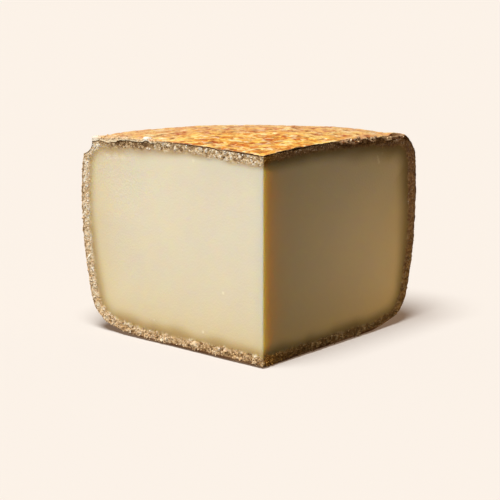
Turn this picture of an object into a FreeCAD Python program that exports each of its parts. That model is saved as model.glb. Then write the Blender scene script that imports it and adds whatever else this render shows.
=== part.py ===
import FreeCAD, Part
import math
import os

# A quarter of a pressed, matured wheel of sheep's milk cheese, as it is sold over a counter.
# The wheel was pressed in a mould with a slightly hollow floor and lid, so that its top is a low crown,
# its side bulges a little and its lower edge is far rounder than its shoulder. Two square knife cuts
# through the wheel's axis free the quarter.
#
# Millimetres, +Z up. The flat of the wheel's base rests on Z = 0. The wheel's axis, which is the upright
# edge where the two cut faces meet, is at the front, towards -Y, and the rind side looks to +Y.
# The origin is on the table, under the middle of the piece's box.

# The whole wheel, as a section turned about its axis.
wheel_radius = 130.5        # at its widest
axis_height = 115.0         # from the table to the top of the crown
widest_height = 72.0        # where the side bulges furthest
crown_radius = 815.0        # the top face is a low dome
side_radius = 220.0         # the bulge of the side
shoulder_radius = 15.0      # from the top face into the side
lower_edge_radius = 20.0    # from the side in under the wheel
heel_radius = 102.0         # the base lifts off the table towards the side
seat_radius = 82.5          # how far out the base lies flat

# The two knife cuts.
cut_angle = 90.0            # between the cut faces
front_edge_radius = 0.8     # soft paste doesn't keep a knife-sharp edge
knife_overrun = 10.0        # how far the cuts run out past the rind

# A dent in the shoulder at the left cut, from a knock against a shelf.
dent_ball_radius = 20.0
dent_depth = 2.1            # into the shoulder, along its normal
dent_slope = 43.0           # that normal's angle above the horizontal

# Crust that broke off along the top edge of the right cut, in a row of shallow bites.
chip_count = 5
chip_rim_gap = 3.5          # from the outermost bite to where the shoulder begins
chip_pitch = 11.5           # from bite to bite, on average
chip_ball_radius = 11.0     # of a middling bite
chip_depth = 1.6            # how deep a middling bite goes into the corner
chip_unevenness = 0.3       # share by which the bites' balls, depths and gaps differ

# The step that the unevenness takes round a circle from bite to bite, so that no two match.
golden_angle = math.pi * (3.0 - math.sqrt(5.0))

up = FreeCAD.Vector(0, 0, 1)


def circle(r, z, radius):
    """A circle of the section: its centre's distance from the axis, its centre's height, its radius."""
    return {"centre": FreeCAD.Vector(r, 0, z), "radius": radius}


def rounding(first, second, radius):
    """The circle that rounds the corner between two circles from inside, touching both.

    Its centre is where two circles meet that are smaller than these by its radius. Of the two places
    where they meet, the one further from the axis is the corner's.
    """
    reach_1 = first["radius"] - radius
    reach_2 = second["radius"] - radius
    line = second["centre"] - first["centre"]
    apart = line.Length
    along = (apart ** 2 + reach_1 ** 2 - reach_2 ** 2) / (2 * apart)
    aside = math.sqrt(reach_1 ** 2 - along ** 2)
    line.normalize()
    across = FreeCAD.Vector(line.z, 0, -line.x)
    foot = first["centre"] + line * along
    found = max((foot + across * aside, foot - across * aside), key=lambda point: point.x)
    return circle(found.x, found.z, radius)


def touch(outer, inner):
    """Where a rounding circle touches the larger circle around it."""
    line = inner["centre"] - outer["centre"]
    line.normalize()
    return outer["centre"] + line * outer["radius"]


def arc(ring, start, end):
    """The short arc of a circle between two points on it."""
    middle = (start - ring["centre"]) + (end - ring["centre"])
    middle.normalize()
    return Part.Arc(start, ring["centre"] + middle * ring["radius"], end).toShape()


def wheel_circles():
    """The circles whose arcs make the section from the crown, down the side, to the base."""
    crown = circle(0, axis_height - crown_radius, crown_radius)
    side = circle(wheel_radius - side_radius, widest_height, side_radius)
    heel = circle(seat_radius, heel_radius, heel_radius)
    shoulder = rounding(crown, side, shoulder_radius)
    lower_edge = rounding(side, heel, lower_edge_radius)
    return crown, shoulder, side, lower_edge, heel


def whole_wheel():
    """The wheel before it was cut: five arcs that run smoothly into each other, turned about the axis."""
    crown, shoulder, side, lower_edge, heel = wheel_circles()
    foot = FreeCAD.Vector(0, 0, 0)
    top = FreeCAD.Vector(0, 0, axis_height)
    rim = touch(crown, shoulder)
    side_top = touch(side, shoulder)
    side_foot = touch(side, lower_edge)
    heel_end = touch(heel, lower_edge)
    seat = FreeCAD.Vector(seat_radius, 0, 0)
    outline = Part.Wire([
        Part.makeLine(foot, top),
        arc(crown, top, rim),
        arc(shoulder, rim, side_top),
        arc(side, side_top, side_foot),
        arc(lower_edge, side_foot, heel_end),
        arc(heel, heel_end, seat),
        Part.makeLine(seat, foot),
    ])
    return Part.Face(outline).revolve(foot, up, 360)


def cut_direction(side):
    """The way a cut runs from the wheel's axis: -1 for the left cut face, 1 for the right."""
    half = math.radians(cut_angle / 2)
    return FreeCAD.Vector(side * math.sin(half), math.cos(half), 0)


def knife_prism():
    """The upright prism between the two knife cuts, with its front edge a little blunt."""
    half = math.radians(cut_angle / 2)
    reach = wheel_radius / math.cos(half) + knife_overrun
    setback = front_edge_radius / math.tan(half)
    blunt_centre = FreeCAD.Vector(0, front_edge_radius / math.sin(half), 0)
    blunt_nose = blunt_centre - FreeCAD.Vector(0, front_edge_radius, 0)
    left, right = cut_direction(-1), cut_direction(1)
    outline = Part.Wire([
        Part.makeLine(left * reach, left * setback),
        Part.Arc(left * setback, blunt_nose, right * setback).toShape(),
        Part.makeLine(right * setback, right * reach),
        Part.makeLine(right * reach, left * reach),
    ])
    prism = Part.Face(outline).extrude(up * (axis_height + 2 * knife_overrun))
    prism.translate(-up * knife_overrun)
    return prism


def shoulder_dent():
    """A ball that dips into the shoulder at the left cut, along the shoulder's normal."""
    shoulder = wheel_circles()[1]
    slope = math.radians(dent_slope)
    out = shoulder_radius + dent_ball_radius - dent_depth
    distance = shoulder["centre"].x + out * math.cos(slope)
    height = shoulder["centre"].z + out * math.sin(slope)
    return Part.makeSphere(dent_ball_radius, cut_direction(-1) * distance + up * height)


def crust_chips():
    """Balls along the top edge of the right cut, each dipping into the corner of crust and cut face.

    They are set out from the rim inwards, each a little off its even place, larger and deeper by turns.
    """
    crown, shoulder = wheel_circles()[:2]
    rim = touch(crown, shoulder)
    along = cut_direction(1)
    outward = FreeCAD.Vector(along.y, -along.x, 0)
    balls = []
    for number in range(chip_count):
        larger = 1 + chip_unevenness * math.sin(golden_angle * number)
        deeper = 1 + chip_unevenness * math.cos(golden_angle * number)
        further = chip_unevenness * math.sin(2 * golden_angle * number)
        distance = rim.x - chip_rim_gap - chip_pitch * (number + further)
        edge_height = crown["centre"].z + math.sqrt(crown_radius ** 2 - distance ** 2)
        corner = along * distance + up * edge_height
        ball_radius = chip_ball_radius * larger
        out = (outward + up).normalize() * (ball_radius - chip_depth * deeper)
        balls.append(Part.makeSphere(ball_radius, corner + out))
    return balls


def cheese_wedge():
    """The quarter, moved so that the origin is on the table under the middle of its box."""
    quarter = whole_wheel().common(knife_prism())
    quarter = quarter.cut([shoulder_dent()] + crust_chips())
    half = math.radians(cut_angle / 2)
    front = front_edge_radius / math.sin(half) - front_edge_radius
    quarter.translate(FreeCAD.Vector(0, -(front + wheel_radius) / 2, 0))
    return quarter


os.makedirs("parts", exist_ok=True)
wedge = cheese_wedge()
wedge.exportStep("parts/cheese_wedge.step")
print(f"solids {len(wedge.Solids)}, valid {wedge.isValid()}, faces {len(wedge.Faces)}")
print(f"volume {wedge.Volume / 1e6:.3f} litres")
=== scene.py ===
# %% [markdown]
# # A quarter wheel of firm sheep's milk cheese
# The real thing was pressed in a round mould, salted, and matured for months on a shelf. Its paste stayed
# smooth and ivory, its skin dried to a rough rind, and the top turned to an orange crust. A knife then made
# two square cuts down to the wheel's axis. Everything here grows from the imported solid, which gives the
# piece's true size and place, so the frame is loaded first.

# %% Load the frame
import math

import bpy
import numpy as np
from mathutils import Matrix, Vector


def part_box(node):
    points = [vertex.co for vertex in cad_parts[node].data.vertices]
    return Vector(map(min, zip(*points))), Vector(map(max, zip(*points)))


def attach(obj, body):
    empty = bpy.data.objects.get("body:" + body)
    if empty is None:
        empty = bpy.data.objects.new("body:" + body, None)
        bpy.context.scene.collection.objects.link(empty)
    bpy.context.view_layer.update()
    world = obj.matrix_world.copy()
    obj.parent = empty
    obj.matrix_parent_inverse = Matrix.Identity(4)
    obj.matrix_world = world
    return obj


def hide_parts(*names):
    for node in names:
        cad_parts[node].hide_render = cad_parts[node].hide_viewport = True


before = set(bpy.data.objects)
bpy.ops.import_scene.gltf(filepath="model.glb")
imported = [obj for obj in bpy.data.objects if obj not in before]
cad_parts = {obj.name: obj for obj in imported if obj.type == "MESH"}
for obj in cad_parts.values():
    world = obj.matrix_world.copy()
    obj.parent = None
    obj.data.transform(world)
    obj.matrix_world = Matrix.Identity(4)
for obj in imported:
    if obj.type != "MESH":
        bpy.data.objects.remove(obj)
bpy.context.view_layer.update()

wedge_low, wedge_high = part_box("cheese_wedge")
print("box of the solid, mm:", [round(side * 1000, 1) for side in wedge_high - wedge_low])

# %% [markdown]
# ## The wheel's section
# Every surface of the piece is a turn of one section, so the section comes first. It is five arcs that run
# smoothly into each other: a low crown, a small shoulder, a side that bulges, a lower edge far rounder than
# the shoulder, and a heel that lifts off the table. It could be a Bezier curve turned by a Screw modifier,
# but a formula also gives the normal and the length along the skin at every point, which the relief needs.

# %% Sizes
MM = 0.001                           # one millimetre, in Blender's metres
half_cut = math.radians(45.0)        # between the middle of the piece and each cut
axis_height = wedge_high.z / MM
wheel_radius = wedge_high.x / MM / math.sin(half_cut)
axis_y = wedge_high.y / MM - wheel_radius

crown_radius = 815.0                 # the top face is a low dome
side_radius = 220.0                  # the side bulges a little
widest_height = 72.0                 # and most of all here
shoulder_radius = 15.0
lower_edge_radius = 20.0
heel_radius = 102.0                  # the base lifts off the table towards the side
seat_radius = 82.5                   # how far out the base lies flat
print("the whole wheel, mm: radius", round(wheel_radius, 1), "height", round(axis_height, 1))

# %% The five arcs
def rounding(first, second, radius):
    """The centre of a small circle that touches two large ones from inside.

    It lies at each large radius less the small one from each large centre: the outer crossing of two circles.
    """
    (x1, y1, r1), (x2, y2, r2) = first, second
    near, far = r1 - radius, r2 - radius
    apart = math.hypot(x2 - x1, y2 - y1)
    along = (apart ** 2 + near ** 2 - far ** 2) / (2 * apart)
    aside = math.sqrt(near ** 2 - along ** 2)
    ux, uy = (x2 - x1) / apart, (y2 - y1) / apart
    crossings = [(x1 + ux * along + way * uy * aside, y1 + uy * along - way * ux * aside) for way in (-1, 1)]
    return (*max(crossings), radius)


def bearing(start, end):
    """The direction from one circle's centre to another's, as an angle above the horizontal."""
    return math.atan2(end[1] - start[1], end[0] - start[0])


crown = (0.0, axis_height - crown_radius, crown_radius)
side = (wheel_radius - side_radius, widest_height, side_radius)
heel = (seat_radius, heel_radius, heel_radius)
shoulder = rounding(crown, side, shoulder_radius)
lower_edge = rounding(side, heel, lower_edge_radius)
arcs = np.array([crown, shoulder, side, lower_edge, heel])
turns = np.array([math.pi / 2, bearing(crown, shoulder), bearing(side, shoulder),
                  bearing(side, lower_edge), bearing(heel, lower_edge), -math.pi / 2])
marks = np.concatenate([[0.0], np.cumsum(arcs[:, 2] * (turns[:-1] - turns[1:]))])
rim_mark, side_mark, foot_mark, heel_mark, seat_mark = marks[1:]
end_mark = seat_mark + seat_radius
print("length of the section, mm:", round(end_mark, 1), "of which the crown", round(rim_mark, 1))

# %% A point of the section
def section(along):
    """The section at a distance along it from the top of the axis: radius, height and outward normal.

    On each arc the normal's angle falls evenly with the length, by length over radius, and the point is the
    arc's centre plus its radius along the normal. Past the last arc the flat seat runs back to the axis.
    """
    which = np.clip(np.searchsorted(marks, along, side="right") - 1, 0, len(arcs) - 1)
    centre_r, centre_z, radius = np.moveaxis(arcs[which], -1, 0)
    flat = np.clip(along - seat_mark, 0.0, None)
    angle = turns[which] - np.minimum(along - marks[which], seat_mark - marks[which]) / radius
    r = centre_r + radius * np.cos(angle) - flat
    z = centre_z + radius * np.sin(angle)
    return np.stack([np.maximum(r, 0.0), z], -1), np.stack([np.cos(angle), np.sin(angle)], -1)


rim_r = section(np.array([rim_mark]))[0][0, 0]
print("the crown's rim is", round(rim_r, 1), "mm from the axis")

# %% [markdown]
# ## Unevenness
# Rind and crumbs have no two spots alike, yet the same script must give the same cheese each time. Blender's
# own textures can displace a mesh, but numpy can also say where the same noise makes a crumb stand up and
# how dark it is. Two patterns are enough: soft noise for swells and grain, and cells for separate crumbs. In
# each call the width comes first and a seed of its own last. A factor in front is a height in millimetres.

# %% Soft noise
def scramble(cells, seed):
    """A number from 0 to 1 for each whole-numbered cell, its three numbers multiplied and folded."""
    mixed = cells.astype(np.int64) @ np.array([374761393, 668265263, 2147483629]) + seed * 1442695041
    mixed = (mixed ^ (mixed >> 13)) * 1274126177 & 0xFFFFFFFF
    mixed = (mixed ^ (mixed >> 16)) * 2246822519 & 0xFFFFFFFF
    return ((mixed ^ (mixed >> 15)) & 0xFFFFFF) / 0xFFFFFF


def noise(points, size, seed):
    """Soft noise from -1 to 1 whose lumps are about as wide as size.

    Each corner of a cubic lattice has its own number, and a point blends the eight around it smoothly.
    """
    place = points / size
    cell = np.floor(place)
    t = place - cell
    t = t * t * (3 - 2 * t)
    total = 0.0
    for corner in np.ndindex(2, 2, 2):
        corner = np.array(corner)
        weight = np.prod(np.where(corner, t, 1 - t), axis=-1)
        total = total + weight * scramble(cell + corner, seed)
    return 2 * total - 1


def rough(points, size, seed, layers=3):
    """Layers of soft noise, each half as wide and half as strong as the last."""
    total = sum(noise(points, size / 2 ** layer, seed + layer) / 2 ** layer for layer in range(layers))
    return total / (2 - 0.5 ** (layers - 1))


sample_points = np.stack(np.meshgrid(*[np.linspace(0.0, 50.0, 11)] * 3), -1)
sample = noise(sample_points, 7.0, 1)
print("soft noise runs from", sample.min().round(2), "to", sample.max().round(2))

# %% Cells, steps and bells
def crumbs(points, size, seed):
    """Cells about as wide as size: how far a point is from its crumb's middle, and the crumb's number.

    Each lattice cell holds one middle at a scrambled place, and a point belongs to the nearest middle. Both
    answers run from 0 to 1.
    """
    place = points / size
    home = np.floor(place)
    nearest = np.full(points.shape[:-1], 9.0)
    number = np.zeros(points.shape[:-1])
    for step in np.ndindex(3, 3, 3):
        cell = home + np.array(step) - 1
        middle = cell + np.stack([scramble(cell, seed + axis) for axis in range(3)], -1)
        distance = np.linalg.norm(place - middle, axis=-1)
        closer = distance < nearest
        nearest = np.where(closer, distance, nearest)
        number = np.where(closer, scramble(cell, seed + 9), number)
    return np.minimum(nearest, 1.0), number


def ease(value, start, end):
    """A smooth step: 0 at start, 1 at end, level at both."""
    t = np.clip((value - start) / (end - start), 0.0, 1.0)
    return t * t * (3 - 2 * t)


def bell(distance, width):
    """A bell: 1 at no distance, a third at the width, next to nothing at twice the width."""
    return np.exp(-(distance / width) ** 2)


def mounds(points, size, seed):
    """A rounded mound on each crumb: the crumb's number times 1 less the distance squared."""
    distance, number = crumbs(points, size, seed)
    return (1 - distance ** 2) * number


print("the mean height of a mound is", mounds(sample_points, 7.0, 1).mean().round(2))

# %% [markdown]
# ## From grids to closed pieces
# Each surface is a grid of points worked out as whole arrays. A grid becomes triangles, grids are welded
# where their edges coincide, and the count of edges that have one face only shows whether a piece is closed.

# %% Grids, welding and pieces
def grid(points, inside, **values):
    """A grid of points as triangles that face away from a point inside the piece.

    Each cell of four neighbours is split along its diagonal. The volume p . (q x r) between a point inside
    and triangles that face away from it is positive. Values are numbers that go with the points.
    """
    rows, columns = points.shape[:2]
    index = np.arange(rows * columns).reshape(rows, columns)
    a, b, c, d = (part.ravel() for part in (index[:-1, :-1], index[:-1, 1:], index[1:, 1:], index[1:, :-1]))
    faces = np.concatenate([np.stack([a, b, c], -1), np.stack([a, c, d], -1)])
    flat = points.reshape(-1, 3)
    p, q, r = (flat[faces] - inside).transpose(1, 0, 2)
    volume = np.sum(p * np.cross(q, r))
    faces = faces if volume > 0 else faces[:, ::-1]
    spread = {name: np.broadcast_to(value, (rows, columns)).ravel() for name, value in values.items()}
    return flat, faces, spread


def weld(grids):
    """Joins grids into one mesh: points that agree to a ten-thousandth of a millimetre become one."""
    offset = np.cumsum([0] + [len(points) for points, _, _ in grids])
    points = np.concatenate([points for points, _, _ in grids])
    faces = np.concatenate([faces + start for (_, faces, _), start in zip(grids, offset)])
    _, first, back = np.unique(np.round(points, 4), axis=0, return_index=True, return_inverse=True)
    faces = back.ravel()[faces]
    a, b, c = faces.T
    faces = faces[(a != b) & (b != c) & (c != a)]
    values = {name: np.concatenate([extra[name] for _, _, extra in grids])[first] for name in grids[0][2]}
    return points[first], faces, values


def make_piece(name, points, faces, values, crease=180.0):
    """A new smooth-shaded mesh object from points in millimetres, triangles and values at the points."""
    mesh = bpy.data.meshes.new(name)
    mesh.vertices.add(len(points))
    mesh.vertices.foreach_set("co", (points * MM).ravel())
    mesh.loops.add(faces.size)
    mesh.loops.foreach_set("vertex_index", faces.ravel().astype(np.int32))
    mesh.polygons.add(len(faces))
    mesh.polygons.foreach_set("loop_start", np.arange(0, faces.size, 3, dtype=np.int32))
    mesh.polygons.foreach_set("use_smooth", np.ones(len(faces), bool))
    for key, value in values.items():
        mesh.attributes.new(key, "FLOAT", "POINT").data.foreach_set("value", value.astype(np.float32))
    mesh.update(calc_edges=True)
    mesh.set_sharp_from_angle(angle=math.radians(crease))
    edges = np.sort(np.concatenate([faces[:, [0, 1]], faces[:, [1, 2]], faces[:, [2, 0]]]), axis=1)
    _, uses = np.unique(edges, axis=0, return_counts=True)
    print(f"{name}: {len(faces)} triangles, {(uses != 2).sum()} open edges")
    piece = bpy.data.objects.new(name, mesh)
    bpy.context.scene.collection.objects.link(piece)
    return piece


square = np.stack([*np.meshgrid(np.arange(3.0), np.arange(3.0)), np.zeros((3, 3))], -1)
print("triangles of a grid of 3 by 3 points:", len(grid(square, np.array([1.0, 1.0, -1.0]))[1]))

# %% [markdown]
# ## What the wheel's life did to its form
# The solid's section is even all round, but the real crown swells towards the left cut, the front edge is a
# little blunt, a shelf dented the left shoulder, and five bites of crust broke away along the right cut.
# These are moves of whole point arrays, so that rind and paste can share them and stay together.

# %% Swell and blunt edge
swell_height = 2.4          # at the left rim
swell_start = -20.0         # x where the crown begins to rise
swell_reach = 62.5          # from there to the left rim
swell_power = 1.3           # more than 1, so that the rise begins gently
swell_fade = 30.0           # how far down the side the swell dies away
nose_blunt = 0.33           # how far the front edge stands back from the corner of the two cuts
foot_lift = 0.35            # how far the cuts' bottom edges round off from the table
foot_reach = 2.4            # and how far in from the cut


def on_cut(hand, r, z, raised):
    """Points on a cut face: hand is -1 for the left and 1 for the right, raised is how far they stand out.

    Along the cut both x and y grow by r over root two, and outwards x grows and y falls. On the axis both
    cuts meet, so there the point slides forwards along the mitre between them.
    """
    lean = math.sin(half_cut)
    mitred = (r + raised <= 0) | (r < 1e-6)
    x = np.where(mitred, 0.0, hand * lean * (r + raised))
    y = np.where(mitred, -raised / lean, lean * (r - raised))
    return np.stack([x, y + axis_y, z], -1)


def from_axis(points):
    """How far places are from the wheel's axis, seen from above."""
    return np.hypot(points[..., 0], points[..., 1] - axis_y)


def behind_cut(points, hand):
    """How far places lie behind a cut's plane, which stands at 45 degrees: (y - hand x) over root two."""
    return (points[..., 1] - axis_y - hand * points[..., 0]) * math.sin(half_cut)


def worn(points):
    """Swells the crown, rounds the cuts' bottom edges and blunts the front edge.

    The swell grows as a power of the way to the left. The bottom edge lifts by a bell of the distance behind
    the nearer cut, unevenly. The corner y = |x| of the front edge becomes a hyperbola.
    """
    x, y, z = points[..., 0], points[..., 1], points[..., 2]
    rise = swell_height * (np.clip(swell_start - x, 0, None) / swell_reach) ** swell_power
    z = z + rise * ease(z, axis_height - swell_fade, axis_height - 4.0)
    behind = np.minimum(behind_cut(points, -1), behind_cut(points, 1))
    lift = foot_lift * (1 + 0.7 * noise(points, 5.0, 5)) * bell(behind, foot_reach)
    z = z + lift * (1 - ease(z, 0.0, 9.0))
    y = y + np.sqrt(x ** 2 + nose_blunt ** 2) - np.abs(x)
    return np.stack([x, y, np.maximum(z, 0.0)], -1)


left_rim = on_cut(-1, np.array([rim_r]), np.array([axis_height]), 0.0)
print("the crown's swell at the left rim, mm:", (worn(left_rim) - left_rim)[0, 2].round(1))

# %% Dent and bites
dent_radius = 9.0           # of the ball that knocked the shoulder
dent_depth = 3.7
dent_slope = math.radians(37.0)

chip_count = 5
chip_gap = 3.5              # from the rim to the outermost bite
chip_pitch = 11.5           # from bite to bite, on average
chip_radius = 11.0
chip_depth = 1.2
chip_unevenness = 0.3       # share by which the bites differ
golden_angle = math.pi * (3 - math.sqrt(5))


def pushed(points, centre, radius):
    """Pushes points out of a ball to its surface, and says how far each one went."""
    away = points - centre
    distance = np.linalg.norm(away, axis=-1, keepdims=True)
    moved = np.where(distance < radius, centre + away * radius / np.maximum(distance, 1e-9), points)
    return moved, np.linalg.norm(moved - points, axis=-1)


def knocks():
    """The balls that dented the left shoulder and broke the crust along the right cut, as centres and radii.

    The bites run from the rim inwards. A turn by the golden angle from each to the next makes them uneven.
    """
    reach = shoulder_radius + dent_radius - dent_depth
    dent_r = shoulder[0] + reach * math.cos(dent_slope)
    dent_z = shoulder[1] + reach * math.sin(dent_slope)
    balls = [(worn(on_cut(-1, np.array([dent_r]), np.array([dent_z]), 0.0)), dent_radius)]
    for number in range(chip_count):
        turn = golden_angle * number
        r = rim_r - chip_gap - chip_pitch * (number + chip_unevenness * math.sin(2 * turn))
        z = crown[1] + math.sqrt(crown_radius ** 2 - r ** 2)
        radius = chip_radius * (1 + chip_unevenness * math.sin(turn))
        out = (radius - chip_depth * (1 + chip_unevenness * math.cos(turn))) * math.sqrt(0.5)
        balls.append((on_cut(1, r, z + out, out), radius))
    return balls


def knocked(points, deeper=0.0):
    """Pushes points out of every ball, each grown by deeper, and adds up how far they went."""
    moved = 0.0
    for centre, radius in knocks():
        points, distance = pushed(points, centre, radius + deeper)
        moved = moved + distance
    return points, moved


print("knocks:", len(knocks()))

# %% [markdown]
# ## Rind and crust: the relief
# The skin is one layer, orange crust on the crown and grey-brown rind down the side and under the wheel. It
# dried, cracked and grew again for months, so it has blisters and pits above, lumps with grit between them
# at the side, and is nearly flat where it lay on the shelf. A Displace modifier could raise all that, but
# sums of the noises above give the height and say what the finish should be there. At the cuts the crust
# tore, and its corners stand out.

# %% The skin's relief
def skin(along, turn, inset):
    """Points of the skin and their normals: the section at a length along it, turned about the axis."""
    (r, z), (nr, nz) = (np.moveaxis(part, -1, 0) for part in section(along))
    r = r - inset * nr
    z = z - inset * nz
    points = np.stack([r * np.sin(turn), axis_y + r * np.cos(turn), z], -1)
    normals = np.stack([nr * np.sin(turn), nr * np.cos(turn), nz], -1)
    return points, normals


def crown_share(along):
    """How much of a place is crust: 1 on the crown, 0 from a little way down the side."""
    return 1 - ease(along, rim_mark - 6.0, side_mark + 4.0)


corner_mark = rim_mark + 2.0         # along the section, where the torn crust's corner sticks out
corner_out = 2.3                     # away from the axis
corner_drop = 0.9                    # and down, as it no longer rounds off
corner_width = 3.6                   # along the section
corner_reach = 9.0                   # how far behind the cut it dies away
right_mark = rim_mark - 2.0          # at the right cut it sticks out less, and stands up instead
right_out = 0.9
right_rise = 1.3
right_width = 7.0
# White mould on the left cut's edge: from the axis, height, size and how thickly it grows.
blooms = [(83.0, 111.0, 3.4, 1.0), (120.5, 106.5, 5.5, 0.7), (118.5, 101.0, 5.0, 0.6)]


def beside_cut(points, hand):
    """How near a place is to a cut's plane: 1 at the plane, and a bell of the distance behind it."""
    return bell(behind_cut(points, hand), corner_reach)


def bloom_at(points):
    """How much white mould grows at a place: a bell round each spot's middle, with a ragged edge."""
    found = 0.0
    for r, z, size, share in blooms:
        away = np.linalg.norm(points - on_cut(-1, r, z, -1.5), axis=-1) * (1 + 0.35 * noise(points, 1.6, 91))
        found = np.maximum(found, share * (1 - ease(away, 0.45 * size, size)))
    return found


def skin_relief(points, along):
    """How far the skin stands out, in millimetres, and how deep in a pit each place is, 0 to 1.

    The crown has low swells, blisters a few millimetres wide and small pits. The side is rougher: lumps where
    the rind cracked and grew again, with grit between. Under the wheel the shelf pressed it nearly flat.
    """
    top = crown_share(along)
    base = ease(along, foot_mark, heel_mark)
    swells = 0.45 * noise(points, 26.0, 11)
    spot, kept = crumbs(points, 5.5, 21)
    spot = spot * (1 + 0.5 * noise(points, 1.6, 23)) / (0.35 + 0.9 * kept)
    pits = (1 - ease(spot, 0.12, 0.42)) * ease(kept, 0.35, 0.7)
    crust = swells - 0.4 * pits + 0.42 * mounds(points, 4.2, 31) + 0.22 * rough(points, 2.6, 41)
    rind = 0.6 * swells + 0.75 * mounds(points, 5.5, 51) + 0.45 * rough(points, 3.2, 61) - 0.45
    rind = rind + 0.45 * mounds(points, 1.9, 55)
    level = 0.35 * rough(points, 4.0, 71) - 0.3
    fluff = bloom_at(points) * (1.1 + 0.5 * noise(points, 1.1, 95))
    return (crust * top + rind * (1 - top)) * (1 - base) + level * base + fluff, pits * top


middle_line = np.linspace(0.0, heel_mark, 400)
relief, _ = skin_relief(skin(middle_line, 0 * middle_line, 0.0)[0], middle_line)
print("relief down the middle of the skin, mm: from", relief.min().round(2), "to", relief.max().round(2))

# %% [markdown]
# ## Rind and crust: the piece
# The real skin has no inner side, only an edge where it was cut. So the piece is one surface that turns in at
# each cut, shows its broken edge there as a narrow strip, and closes on plain walls behind the paste that
# nobody sees. A disc in polar form crowds its points at the axis, right where the eye looks, so the crown is
# a square that is squeezed into the quarter disc. The side goes on from its rim with the same columns.

# %% The skin's points and values
crown_cells = 150
side_cells = 165
base_cells = 12
dry_reach = 5.0                      # how far behind the left cut the crust dried to rind
dry_start = rim_mark - 48.0          # along the section
dry_full = rim_mark - 20.0
dust_reach = 75.0                    # how far in from the rim the crust is dusty


def skin_grid(along, turn):
    """Points of the skin with its relief, each moved out along its own normal, and the values at them.

    The crust's torn corners move away from the axis besides, down at the left cut and up at the right one.
    """
    points, normals = skin(along, turn, 0.0)
    relief, pit = skin_relief(points, along)
    dry = bell(behind_cut(points, -1), dry_reach) * ease(along, dry_start, dry_full)
    dry = dry * ease(noise(points, 2.2, 97), -0.25, 0.25)
    values = {"crust": crown_share(along) * (1 - 0.9 * dry), "cut": 0.0, "dark": 0.0, "pale": 0.0, "pit": pit,
              "rim": ease(along, rim_mark - dust_reach, rim_mark), "bloom": bloom_at(points)}
    left = bell(along - corner_mark, corner_width) * beside_cut(points, -1)
    right = bell(along - right_mark, right_width) * beside_cut(points, 1)
    aside = corner_out * left + right_out * right
    move = np.stack([aside * np.sin(turn), aside * np.cos(turn), right_rise * right - corner_drop * left], -1)
    return points + normals * relief[..., None] + move, values


def crown_map(cells):
    """A square grid squeezed into the quarter disc: length along the section, and turn about the axis.

    u = x sqrt(1 - y^2 / 2) and v = y sqrt(1 - x^2 / 2) put the square's two far edges on the rim.
    """
    x, y = np.meshgrid(np.linspace(0, 1, cells + 1), np.linspace(0, 1, cells + 1), indexing="ij")
    u = x * np.sqrt(1 - y ** 2 / 2)
    v = y * np.sqrt(1 - x ** 2 / 2)
    along = crown_radius * np.arcsin(np.hypot(u, v) * rim_r / crown_radius)
    return along, np.arctan2(v, u) - half_cut


places = [crown_map(crown_cells)]
turn = places[0][1]
rim_turn = np.concatenate([turn[-1, :], turn[-2::-1, -1]])
for start, end, cells in ((rim_mark, heel_mark, side_cells), (heel_mark, end_mark, base_cells)):
    places.append(np.meshgrid(np.linspace(start, end, cells + 1), rim_turn, indexing="ij"))
skins = [skin_grid(*place) for place in places]
print("points of crown, side and base:", [points[..., 0].size for points, _ in skins])

# %% How the edge tore and darkened
ledge_start = {-1: 66.0, 1: 54.0}    # from the axis, where the torn ledge begins to grow along each cut
ledge_grows = 14.0
ledge_foot = axis_height - 13.0      # how low it reaches, and where it is full
ledge_top = axis_height - 8.0
ledge_out = {-1: 0.45, 1: 0.95}      # how far it stands out


def torn(hand, r, z):
    """How much of a place on a cut's outline is torn crust: the outer part of the cut's top."""
    start = ledge_start[hand]
    return ease(r, start, start + ledge_grows) * ease(z, ledge_foot, ledge_top)


def edge_darkness_and_painted_shade(hand, r, z):
    """How dark the edge is: brown along the crown, and on the right also down the side and at the corner,
    which is painted shade, as is the dark at the foot.
    """
    on_top = ease(z, axis_height - 14.0, axis_height - 6.0)
    if hand < 0:
        dark = (0.95 * on_top - 0.2 * (1 - on_top)) * (1 - 0.85 * torn(hand, r, z))
    else:
        # Painted shade: the right cut faces away from the light, so its edge is darker down the side and at
        # the corner.
        dark = 0.85 * on_top + 0.6 * (1 - on_top) + 0.4 * ease(r, 106.0, 114.0) * ease(z, 94.0, 100.0)
    # Painted shade: nearly black at the foot, where the wheel meets the table.
    return np.maximum(dark, 0.9 * (1 - ease(z, 1.5, 5.0)))


print("torn crust is full from, mm out:", [start + ledge_grows for start in ledge_start.values()])

# %% The skin's edge at a cut
wall_depths = [0.3, 0.8, 1.3, 1.7]   # rows of the edge, in from the outline, where it is a millimetre thick
wall_recess = 1.8                    # how far the hidden walls stand back behind the paste
corner_start = 94.0                  # from the axis, where the slab at the left corner begins
corner_full = 112.0
chunk_out = 0.8                      # how far chunks at the foot stand out
middle_r, middle_z = 45.0, 57.0      # the middle of a cut


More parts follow.
